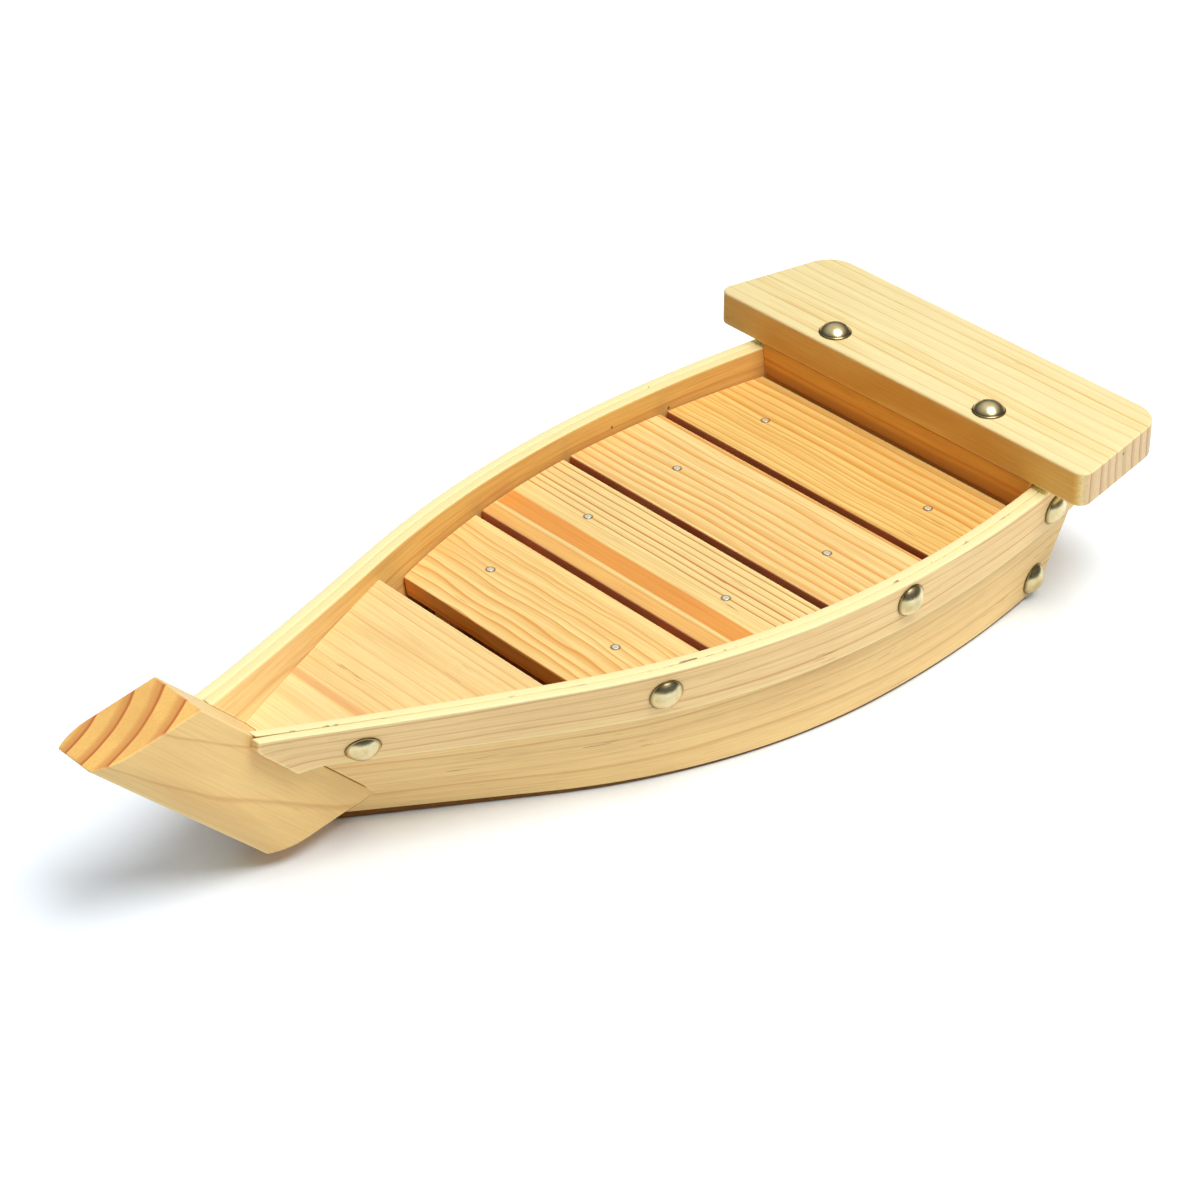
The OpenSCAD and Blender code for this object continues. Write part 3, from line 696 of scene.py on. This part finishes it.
def bottomBoard():
    # a slab that lies along the boat, its sides cut to the planks, down to a blunt point
    aftX, foreX = transomBackX + bottom["backInset"], tongueX - bottom["pointInset"]
    length, width, depth = foreX - aftX, bottom["slabW"], bottomT
    s, w, d = barSkin(length, width, depth, bottom["edge"], widthCuts=9, count=90)
    x = aftX + s
    y = (2 * w / width - 1) * sideY(x, d, -plankT - hull["glueRoom"])
    slab = joined(x, y, d).reshape(-1, 3)
    slabWear = wearOf(s, w, d, length, width, depth).reshape(-1)
    allPoints, allFaces = [slab], [outward(slab, skinFaces(*s.shape))]
    # the rim under each plank fills what the plank's lower edge leaves open above the table
    outline = barOutline(1.0, 1.0, bottom["rimEdge"], np.linspace(0.2, 0.8, 3))
    s, w, d = skinOf(outline, 1.0, bottom["rimEnd"], np.linspace(0.01, 0.99, 120))
    x = aftX + bottom["rimBack"] + s * (tongueX + bottom["rimToe"] - aftX - bottom["rimBack"])
    z = w * (plankLowZ(x) - bottom["rimRoom"])
    y = np.maximum(sideY(x, z, -bottom["rimInset"] - d * plankT * bottom["rimDeep"]),
                   bottom["rimMid"] + hull["midSpread"] * (1 - d))
    for _, sign in sides:
        rim = joined(x, sign * y, z).reshape(-1, 3)
        allFaces.append(outward(rim, skinFaces(*s.shape)) + sum(len(p) for p in allPoints))
        allPoints.append(rim)
    points = np.concatenate(allPoints)
    onRim = np.arange(len(points)) >= len(slab)
    wear = np.concatenate((slabWear, np.zeros(len(points) - len(slab))))
    addPiece("bottomBoard", points, np.concatenate(allFaces), pine("bottomPine", bottomLook), "hull",
             ["bottom_board"], points, wear, 0 * wear, onRim)


bottomBoard()
for side, sign in sides:
    # a straight bar, turned a little so that the pair spreads toward the stern
    length = grateForeX - grateAftX - 2 * grate["battenEnd"]
    width, depth, edge = grate["battenW"], grate["battenH"], grate["barEdge"]
    s, w, d = barSkin(length, width, depth, edge, widthCuts=3, count=20)
    along, over = s - length / 2, w - width / 2
    cosA, sinA = np.cos(grate["battenSpread"]), np.sin(grate["battenSpread"])
    x = grateMidX + along * cosA + over * sinA
    y = sign * (grate["battenY"] - along * sinA + over * cosA)
    battenLook = {**shadedLook, "seed": 181.0 + 6 * sign}
    addPiece(side + "Batten", joined(x, y, battenZ + d), skinFaces(*s.shape),
             pine(side + "BattenPine", battenLook), "grate", [side + "_batten"],
             joined(s, w, d), wearOf(s, w, d, length, width, depth), tipOf(s, length, edge))
print("bottom board and battens built")

sternLook = {
    **tones((252, 233, 168), (226, 170, 78), (176, 112, 56), (255, 242, 188)),
    "shadedSide": tint(255, 226, 176), "tipEarly": tint(236, 208, 160), "tipLate": tint(178, 124, 82), "tipContrast": 0.95,
    "tipBand": 0.45, "ringGap": 4.8, "pith": (-110.0, 10.0), "bend": 2.6, "contrast": 0.85, "uneven": 0.5,
    "seed": 193.0, "cloud": 0.12, "spots": [((78.0, 23.6, 9.35), 0.75)]}


def sternBoard():
    # a trapezium with rounded corners, carried up through its thickness
    slope = (stern["frontW"] - stern["backW"]) / 2 / stern["depth"]
    flare = np.arctan(slope)
    edge, thick = stern["edge"], stern["thick"]

    def corner(x, r, start, stop, steps=15):
        turn = np.linspace(start, stop, steps)
        y = stern["backW"] / 2 + (x - sternX) * slope - r / np.cos(flare)
        return x, y, r, turn

    back = corner(sternX + stern["backR"], stern["backR"], np.pi, np.pi / 2 + flare)
    front = corner(boardFrontX - stern["frontR"], stern["frontR"], np.pi / 2 + flare, 0.0)

    def outline(inset):
        parts = [(x + (r - inset) * np.cos(turn), y + (r - inset) * np.sin(turn)) for x, y, r, turn in (back, front)]
        edgeX = np.concatenate([p[0] for p in parts], axis=1)
        edgeY = np.concatenate([p[1] for p in parts], axis=1)
        return bothHalves(edgeX, edgeX), bothHalves(edgeY, -edgeY)

    cuts = np.array([edge + stern["cutRoom"], thick / 2, thick - edge - stern["cutRoom"]])
    s, x, y = skinOf(outline, thick, edge, cuts, 5)
    near = np.minimum(s, thick - s)
    wear = np.clip(1 - near / wearReach, 0, 1)
    # end grain on both ends; the front face is painted darker and more orange as shade
    past = np.abs(y) - stern["backW"] / 2 - (x - sternX) * slope
    tip = np.clip((past + stern["tipReach"]) / stern["tipBlend"], 0, 1) * (near > stern["tipEdge"] * edge)
    shadedSide = np.clip((x - boardFrontX + stern["frontReach"]) / stern["frontBlend"], 0, 1)
    shadedSide = shadedSide * np.clip((thick - s - stern["frontLip"]) / stern["frontSoft"], 0, 1)
    addPiece("sternBoard", joined(x, y, boardZ + s), skinFaces(*s.shape), pine("sternPine", sternLook),
             "hull", ["stern_board"], joined(y, x - sternX, s), wear, tip, shadedSide)


sternBoard()

stemLook = {
    **tones((244, 207, 136), (204, 138, 76), (150, 92, 44), (252, 228, 170)),
    "tipEarly": tint(255, 205, 116), "tipLate": tint(194, 96, 36), "tipContrast": 0.95, "tipBand": 0.56,
    "ringGap": 6.79, "pith": (29.6, -37.1), "lean": (-0.2714, 0.00069, 60.0), "phase": 0.64, "uneven": 0.0,
    "bend": 1.4, "bendAlong": 40.0, "contrast": 0.45, "soft": 0.04, "line": 0.9, "faint": -0.3, "fleckFrom": 0.8,
    "fibreDepth": 0.16, "hair": 0.08, "seed": 211.0, "cloud": 0.2}


def stemBlock():
    # parallel sides and arcs in to a blunt nose, carried along the rake between two cuts
    cosL, sinL = np.sin(stem["rake"]), np.cos(stem["rake"])
    depth = stem["depth"] * cosL
    shoulder, taper = depth - stem["noseL"], (stem["width"] - stem["noseW"]) / 2
    noseR = (stem["noseL"] ** 2 + taper ** 2) / (2 * taper)
    edge, aftEdge = stem["edge"], stem["aftEdge"]
    aftTurn = np.linspace(np.pi, 1.5 * np.pi, 6)
    noseTurn = np.linspace(0.0, 1.0, 15)[1:-1]
    endTurn = np.linspace(1.0, 0.0, 6)

    def outline(inset):
        # one half: aft corner, straight side, nose arc, rounded nose corner
        half = stem["width"] / 2
        aftR, r = aftEdge - inset, edge - inset
        aftD = inset + aftR + aftR * np.cos(aftTurn)
        aftY = -half + inset + aftR + aftR * np.sin(aftTurn)
        flatD = np.linspace(aftEdge + stem["flatRoom"], shoulder, 6)[None, :] + 0 * inset
        flatY = -half + inset + 0 * flatD
        reach = np.arcsin((stem["noseL"] - edge) / noseR)
        arcD = shoulder + (noseR - inset) * np.sin(noseTurn * reach)
        arcY = -half + noseR - (noseR - inset) * np.cos(noseTurn * reach)
        centreD = depth - edge
        centreY = -half + noseR - np.sqrt((noseR - edge) ** 2 - (centreD - shoulder) ** 2)
        turn = (reach - np.pi / 2) * endTurn
        endD, endY = centreD + r * np.cos(turn), centreY + r * np.sin(turn)
        halfD = np.concatenate((aftD, flatD, arcD, endD), axis=1)
        halfY = np.concatenate((aftY, flatY, arcY, endY), axis=1)
        return bothHalves(halfD, halfD), bothHalves(halfY, -halfY)

    length = stem["blockL"]
    s, d, y = skinOf(outline, length, edge * endShare, cutsOf(length, edge, 24), 5)
    originX = stemAftX(0.0)

    def cutAt(frontX, frontZ):
        # how far along the rake a line at depth d meets an end cut
        reach = frontZ + (frontX - originX - d * cosL) * cutK + d * sinL
        return reach / (cosL + cutK * sinL)

    low = cutAt(stemFrontX(stem["heelZ"]), stem["heelZ"])
    high = cutAt(stemFrontX(stem["tipZ"]), stem["tipZ"])
    k = low + (high - low) * s / length
    x, z = originX + d * cosL + k * sinL, k * cosL - d * sinL
    x = x + jointShift(z) * np.clip(1 - d / stem["jointReach"], 0, 1)
    near = np.minimum(np.minimum(s, length - s), np.minimum(d, depth - d))
    wear = np.clip(1 - near / stem["wearReach"], 0, 1)
    addPiece("stemBlock", joined(x, y, z), skinFaces(*s.shape), pine("stemPine", stemLook), "hull",
             ["stem_block"], joined(k, d, y), wear, tipOf(s, length, edge * endShare))


stemBlock()
print("stern board and stem built")

tacks = {
    "headR": 5.5, "headH": 3.4, "rim": 0.45, "rimShare": 0.6, "underShare": 0.6, "underZ": 0.05, "shankR": 0.9,
    "point": 0.6, "pointR": 0.05, "grip": 9.0, "stop": 0.6, "rimFrom": 0.86, "rimBlend": 0.12,
    "bowBack": 22.0, "bowDrop": 10.5, "midSlats": [0, 2], "midShift": [3.3, 0.7], "midDrop": [8.6, 6.9],
    "sternDrop": 9.3, "lowUp": 2.0, "boardY": 34.5}


def addTurned(name, profile, seats, count, material, body, node):
    # turns a profile of radius and height about each seat; a seat is a place, an axis and a shank length
    radius, height, onShank = (np.array(v) for v in zip(*profile))
    angle = np.linspace(0, 2 * np.pi, count, endpoint=False)
    faces = ringFaces(len(radius), count)
    allPoints, allFaces, total = [], [], 0
    # the outer part of the head, where the metal gets a painted dark line of shade
    rim = np.repeat(np.clip((radius / radius.max() - tacks["rimFrom"]) / tacks["rimBlend"], 0, 1), count)
    for place, axis, shank in seats:
        axis = np.array(axis) / np.linalg.norm(axis)
        across = np.cross([0.0, 0.0, 1.0] if abs(axis[2]) < 0.9 else [1.0, 0.0, 0.0], axis)
        across /= np.linalg.norm(across)
        up = np.cross(axis, across)
        h = np.where(onShank > 0, height - shank, height)
        ring = radius[:, None, None] * (np.cos(angle)[:, None] * across + np.sin(angle)[:, None] * up)
        points = (np.array(place) + ring + h[:, None, None] * axis).reshape(-1, 3)
        allFaces.append(outward(points - points.mean(0), faces) + total)
        allPoints.append(points)
        total += len(points)
    addPiece(name, np.concatenate(allPoints), np.concatenate(allFaces), material, body, [node],
             rim=np.tile(rim, len(seats)))


def tackProfile():
    # from the crown down a spherical dome to a rolled rim, in under the head and down the shank
    headR, headH, shankR = tacks["headR"], tacks["headH"], tacks["shankR"]
    roll = tacks["rim"] * tacks["rimShare"]
    domeR = (headR ** 2 + headH ** 2) / (2 * headH)
    reach = np.arcsin((headR - roll) / domeR)
    dome = [(domeR * np.sin(v), headH - domeR + domeR * np.cos(v), 0) for v in np.linspace(0.012, reach, 22)]
    lastR, lastH, _ = dome[-1]
    rolled = [(lastR + roll * np.sin(v), lastH * 0.5 * (1 + np.cos(v)), 0) for v in np.linspace(0.5, np.pi, 8)]
    under = [(headR * tacks["underShare"], tacks["underZ"], 0), (shankR, tacks["underZ"], 0),
             (shankR, tacks["point"], 1), (tacks["pointR"], 0.0, 1)]
    return dome + rolled + under


def faceSeat(x, z, onRail, sign, shank, step=0.5):
    # where a tack meets a rail or a plank, and the direction square to that face
    def at(u, v):
        u, v = np.array(u), np.array(v)
        return float(railY(u, v, rail["thick"]) if onRail else sideY(u, v, 0.0))

    axis = [at(x - step, z) - at(x + step, z), sign * 2 * step, at(x, z - step) - at(x, z + step)]
    return (x, sign * at(x, z), z), axis, shank


tackMetal = metal("paleBrass", {
    "bright": tint(232, 216, 170), "tarnish": tint(206, 184, 130), "stainScale": 260.0, "dentScale": 900.0,
    "roughLow": 0.24, "roughHigh": 0.34, "dents": 0.015, "metallic": 1.0, "rim": tint(118, 98, 56)})
bradMetal = metal("brightSteel", {
    "bright": tint(255, 250, 230), "tarnish": tint(238, 224, 190), "stainScale": 700.0, "dentScale": 2000.0,
    "roughLow": 0.16, "roughHigh": 0.28, "dents": 0.05, "metallic": 0.45, "rim": tint(90, 70, 46)})
sideT = rail["thick"] + plankT
sternTackX = transomFrontX - stern["transomT"] / 2
bowTackX = stemJointX - tacks["bowBack"]
midTackX = [slatAftX(k) + slatW / 2 + shift for k, shift in zip(tacks["midSlats"], tacks["midShift"])]
# along each rail from the bow: place, drop below the sheer, shank
railTacks = [(bowTackX, tacks["bowDrop"], sideT - tacks["stop"])]
railTacks += [(x, drop, sideT - tacks["stop"]) for x, drop in zip(midTackX, tacks["midDrop"])]
railTacks += [(sternTackX, tacks["sternDrop"], sideT + tacks["grip"])]
for side, sign in sides:
    seats = [faceSeat(x, float(sheerZ(x)) - drop, True, sign, shank) for x, drop, shank in railTacks]
    seats.append(faceSeat(sternTackX, bottomT + tacks["lowUp"], False, sign, plankT + tacks["grip"]))
    addTurned(side + "Tacks", tackProfile(), seats, 56, tackMetal, "hull", side + "_tacks")
boardTop = boardZ + stern["thick"]
upward, downward = (0.0, 0.0, 1.0), (0.0, 0.0, -1.0)
seats = [((sternTackX, sign * tacks["boardY"], boardTop), upward, stern["thick"] + tacks["grip"]) for _, sign in sides]
addTurned("sternBoardTacks", tackProfile(), seats, 56, tackMetal, "hull", "stern_board_tacks")

# a brad's flat head with a soft crown and a small centre dimple, then its shank
bradProfile = [
    (0.04, 0.15, 0), (0.35, 0.16, 0), (0.7, 0.19, 0), (1.0, 0.18, 0), (1.18, 0.12, 0), (1.28, 0.0, 0),
    (brads["headR"], -0.12, 0), (1.28, -0.28, 0), (brads["shankR"], -0.3, 0), (brads["shankR"], 0.3, 1),
    (0.04, 0.0, 1)]
seats = [((*bradSeat(i, sign), grate["deckZ"]), upward, grate["slatT"] + brads["grip"])
         for i in range(grate["slats"]) for _, sign in sides]
addTurned("slatBrads", bradProfile, seats, 28, bradMetal, "grate", "slat_brads")
bottomBrads = {"pitch": 24.0, "count": 4, "sink": 0.1}
bradRow = (np.arange(bottomBrads["count"]) - (bottomBrads["count"] - 1) / 2) * bottomBrads["pitch"]
seats = [((sternTackX, y, brads["proud"] + bottomBrads["sink"]), downward, bottomT + brads["grip"])
         for y in bradRow]
addTurned("bottomBrads", bradProfile, seats, 24, bradMetal, "hull", "bottom_brads")
print("tacks and brads built")

# the stage: a pale floor that keeps the shadow near the part and paints it lighter and bluer farther out, soft lamps,
# a gradient sky
stageLook = {
    "floorHalf": 4.0, "floorDrop": 0.0003, "floorColour": (0.9, 0.95, 1.0, 1.0), "liftColour": (0.78, 0.88, 1.0, 1.0),
    "nearLift": 0.01, "farLift": 0.5, "from": (0.0, 0.055, 0.0), "near": 0.133, "far": 0.245}


def floorMaterial():
    # plain paper with a painted bluish glow that grows away from the part and lightens the shadow there, for the
    # camera and in reflections only
    material, tree = emptyMaterial("whiteTable")
    add = partial(addNode, tree)
    spot = add("TexCoord", {})["Object"]
    away = add("VectorMath", {0: spot, 1: stageLook["from"]}, operation="DISTANCE")["Value"]
    fade = add("MapRange", {"Value": away, "From Min": stageLook["near"], "From Max": stageLook["far"],
                            "To Min": stageLook["nearLift"], "To Max": stageLook["farLift"]})
    path = add("LightPath", {})
    seen = add("Math", {0: path["Is Camera Ray"], 1: path["Is Glossy Ray"]}, operation="MAXIMUM")
    amount = add("Math", {0: seen[0], 1: fade[0]}, operation="MULTIPLY")
    lift = add("Emission", {"Color": stageLook["liftColour"], "Strength": amount[0]})
    paper = add("BsdfDiffuse", {"Color": stageLook["floorColour"]})
    both = add("AddShader", {0: paper[0], 1: lift[0]})
    add("OutputMaterial", {"Surface": both[0]})
    return material


half, drop = stageLook["floorHalf"], -stageLook["floorDrop"]
corners = [(-half, -half, drop), (half, -half, drop), (half, half, drop), (-half, half, drop)]
floorMesh = bpy.data.meshes.new("floor")
floorMesh.from_pydata(corners, [], [(0, 1, 2, 3)])
floorMesh.materials.append(floorMaterial())
floor = bpy.data.objects.new("floor", floorMesh)
show(floor)

# the sky is pale for the camera; for light it is bright at the stern and overhead and dim at the bow;
# in reflections it is a dark wall under a bright ceiling
skyLook = {
    "dim": 0.02, "bright": 0.64, "from": (-0.75, 0.1, 0.65), "dimTo": -0.3, "brightFrom": 0.9, "seen": 1.0,
    "wall": 0.07, "ceiling": 0.95, "wallTop": 0.42, "ceilingLow": 1.0, "lit": (-0.15, -0.2, 0.97)}


def skyNodes(tree):
    tree.nodes.clear()
    add = partial(addNode, tree)
    place = add("TexCoord", {})["Generated"]
    path = add("LightPath", {})
    toward = Vector(skyLook["from"]).normalized()
    facing = add("VectorMath", {0: place, 1: toward}, operation="DOT_PRODUCT")["Value"]
    span = add("MapRange", {"Value": facing, "From Min": skyLook["dimTo"], "From Max": skyLook["brightFrom"],
                            "To Min": skyLook["dim"], "To Max": skyLook["bright"]})
    height = add("VectorMath", {0: place, 1: skyLook["lit"]}, operation="DOT_PRODUCT")["Value"]
    room = add("MapRange", {"Value": height, "From Min": skyLook["wallTop"], "From Max": skyLook["ceilingLow"],
                            "To Min": skyLook["wall"], "To Max": skyLook["ceiling"]}, interpolation_type="SMOOTHSTEP")
    mirrored = add("Mix", {0: path["Is Glossy Ray"], 2: span[0], 3: room[0]})
    level = add("Mix", {0: path["Is Camera Ray"], 2: mirrored[0], 3: skyLook["seen"]})
    sky = add("Background", {"Strength": level[0]})
    add("OutputWorld", {"Surface": sky[0]})


world = bpy.data.worlds.new("studio")
bpy.context.scene.world = world
world.use_nodes = True
skyNodes(world.node_tree)

lamps = {
    "key": {"from": (-0.1, 0.76, 2.0), "size": 1.3, "power": 38.0, "mirrored": True},
    "fill": {"from": (0.55, 1.7, 0.5), "size": 1.4, "power": 2.0, "mirrored": False}}
for name, lamp in lamps.items():
    light = bpy.data.lights.new(name, "AREA")
    light.shape = "DISK"
    light.size = lamp["size"]
    light.energy = lamp["power"]
    lit = bpy.data.objects.new(name, light)
    lit.location = lamp["from"]
    lit.rotation_euler = Vector(lamp["from"]).to_track_quat("Z", "Y").to_euler()
    lit.visible_glossy = lamp["mirrored"]
    show(lit)

# the camera that took the picture: its place, its aim and a long lens
eye = {
    "place": (0.6031, 0.6807, 0.6336), "back": (0.5585, 0.6207, 0.5503), "lens": 106.75, "sensor": 36.0, "far": 50.0}
lens = bpy.data.cameras.new("camera")
lens.lens = eye["lens"]
lens.sensor_width = eye["sensor"]
lens.sensor_fit = "HORIZONTAL"
lens.clip_end = eye["far"]
camera = bpy.data.objects.new("camera", lens)
camera.location = eye["place"]
camera.rotation_euler = Vector(eye["back"]).to_track_quat("Z", "Y").to_euler()
show(camera)
bpy.context.scene.camera = camera
bpy.context.scene.view_settings.view_transform = "Standard"
print("stage, lamps and camera set")
